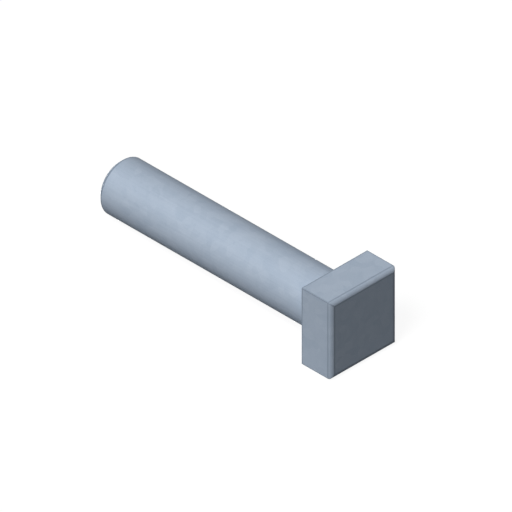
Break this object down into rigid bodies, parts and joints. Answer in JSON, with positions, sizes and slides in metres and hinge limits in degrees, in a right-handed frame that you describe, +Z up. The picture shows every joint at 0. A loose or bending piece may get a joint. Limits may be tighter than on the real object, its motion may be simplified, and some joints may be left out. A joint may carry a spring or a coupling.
{
  "type": "square head bolt",
  "caption": "Square head bolt lying at rest: a square head with a rounded outer rim on a plain round shank with a chamfered point.",
  "frame": {"origin": "centre of the bearing face, the underside of the head, on the bolt's axis", "axes": "+X towards the head's outer end face and -X towards the point; the bolt lies as it comes to rest, so its axis dips 2.75 degrees below -X towards the point; +Y square to one pair of wrench flats; +Z up"},
  "size_m": [0.0874, 0.0232, 0.0237],
  "materials": {
    "galvanized_steel": "dull blue-grey zinc coat over forged steel"
  },
  "bodies": {
    "root": {"square_head_bolt": "galvanized_steel"}
  },
  "joints": []
}
